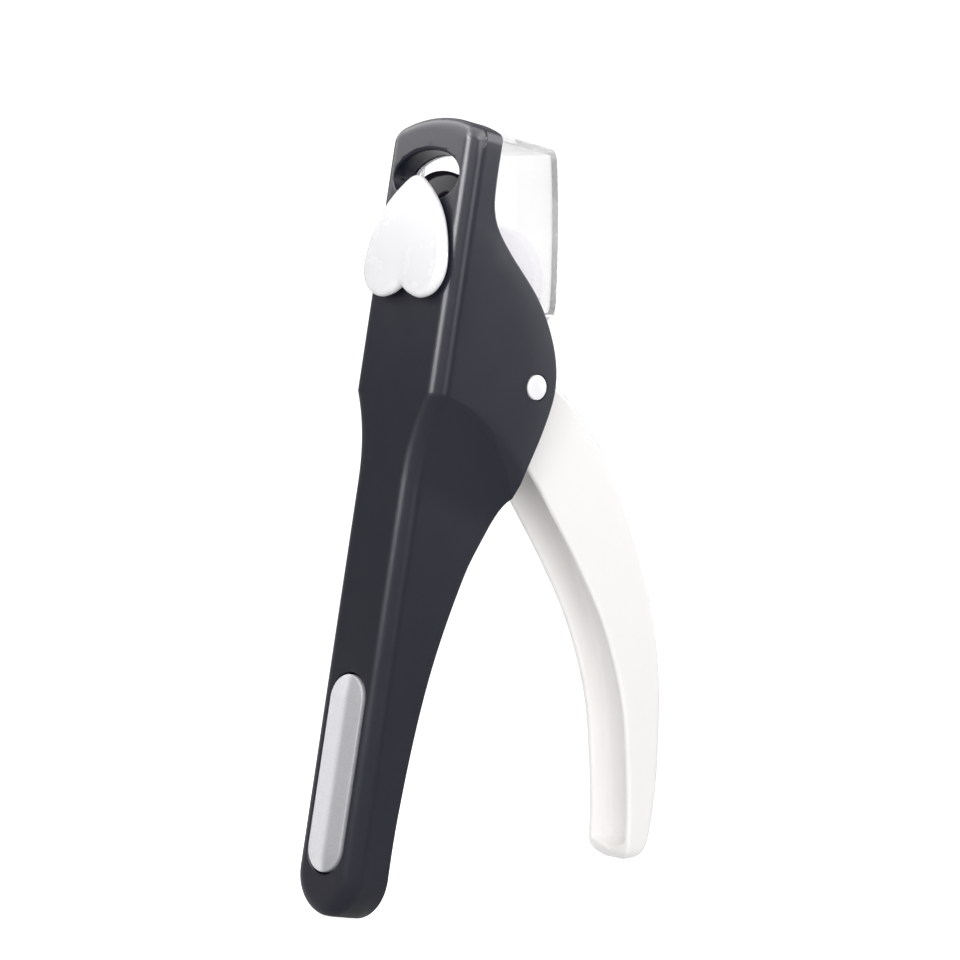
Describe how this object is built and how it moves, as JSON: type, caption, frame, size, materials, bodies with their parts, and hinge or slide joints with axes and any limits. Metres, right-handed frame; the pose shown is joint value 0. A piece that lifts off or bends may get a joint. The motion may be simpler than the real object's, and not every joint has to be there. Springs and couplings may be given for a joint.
{
  "type": "pet nail trimmer",
  "caption": "Upright guillotine nail trimmer: waisted casing with an oval nail hole, heart-shaped hole slider, inset file, clear rear clippings cover and a curved sprung squeeze lever.",
  "frame": {"origin": "under the middle of the bounding box, at the height of the handle's round end", "axes": "+Z from the handle's end to the head, -Y out of the front face with the nail hole and the file, +Y towards the squeeze lever, +X to the right when looking along +Y"},
  "size_m": [0.0252, 0.082, 0.15],
  "materials": {
    "charcoal_abs": "charcoal grey ABS, satin with a fine mould texture",
    "white_abs": "smooth white ABS",
    "black_gloss": "polished black plastic",
    "clear_plastic": "clear moulded polycarbonate",
    "stainless_steel": "finely brushed stainless steel",
    "spring_steel": "drawn spring steel",
    "file_grit": "light grey bonded fine grit",
    "grey_acetal": "natural grey acetal"
  },
  "bodies": {
    "body": {"front_shell": "charcoal_abs", "handle_back": "charcoal_abs", "handle_screw_upper": "stainless_steel", "handle_screw_lower": "stainless_steel", "nail_file": "file_grit", "inner_frame": "white_abs", "frame_screw_left": "stainless_steel", "frame_screw_right": "stainless_steel", "fixed_blade": "stainless_steel", "plate_screw_left": "stainless_steel", "plate_screw_right": "stainless_steel", "pivot_pin": "stainless_steel", "pin_cap_left": "white_abs", "pin_cap_right": "white_abs", "torsion_spring": "spring_steel", "detent_spring": "spring_steel", "cover_hinge_pin": "stainless_steel"},
    "lever": {"lever": "white_abs", "lever_bush": "stainless_steel", "lever_washer_left": "grey_acetal", "lever_washer_right": "grey_acetal"},
    "blade": {"blade_carriage": "grey_acetal", "moving_blade": "stainless_steel", "blade_screw_lower": "stainless_steel", "blade_screw_upper": "stainless_steel", "drive_pin": "stainless_steel"},
    "slider": {"heart_button": "white_abs", "slider_tongue": "black_gloss", "slider_screw": "stainless_steel"},
    "cover": {"clear_cover": "clear_plastic"}
  },
  "joints": [
    {"name": "lever_squeeze", "type": "hinge", "parent": "body", "child": "lever", "pos_m": [0, -0.01325, 0.1029], "axis": [-1, 0, 0], "range_deg": [0, 36], "stiffness_Nm_per_rad": 0.6, "springref_deg": -14.32, "deforming": ["torsion_spring"]},
    {"name": "blade_lift", "type": "slide", "parent": "body", "child": "blade", "axis": [0, 0, 1], "range_m": [0, 0.0107]},
    {"name": "hole_slider", "type": "slide", "parent": "body", "child": "slider", "axis": [0, 0, 1], "range_m": [-0.0045, 0.0015]},
    {"name": "cover_open", "type": "hinge", "parent": "body", "child": "cover", "pos_m": [0, -0.01485, 0.1154], "axis": [-1, 0, 0], "range_deg": [0, 75]}
  ],
  "couplings": [
    {"joint": "blade_lift", "follows": "lever_squeeze", "m_per_rad": 0.01703}
  ]
}
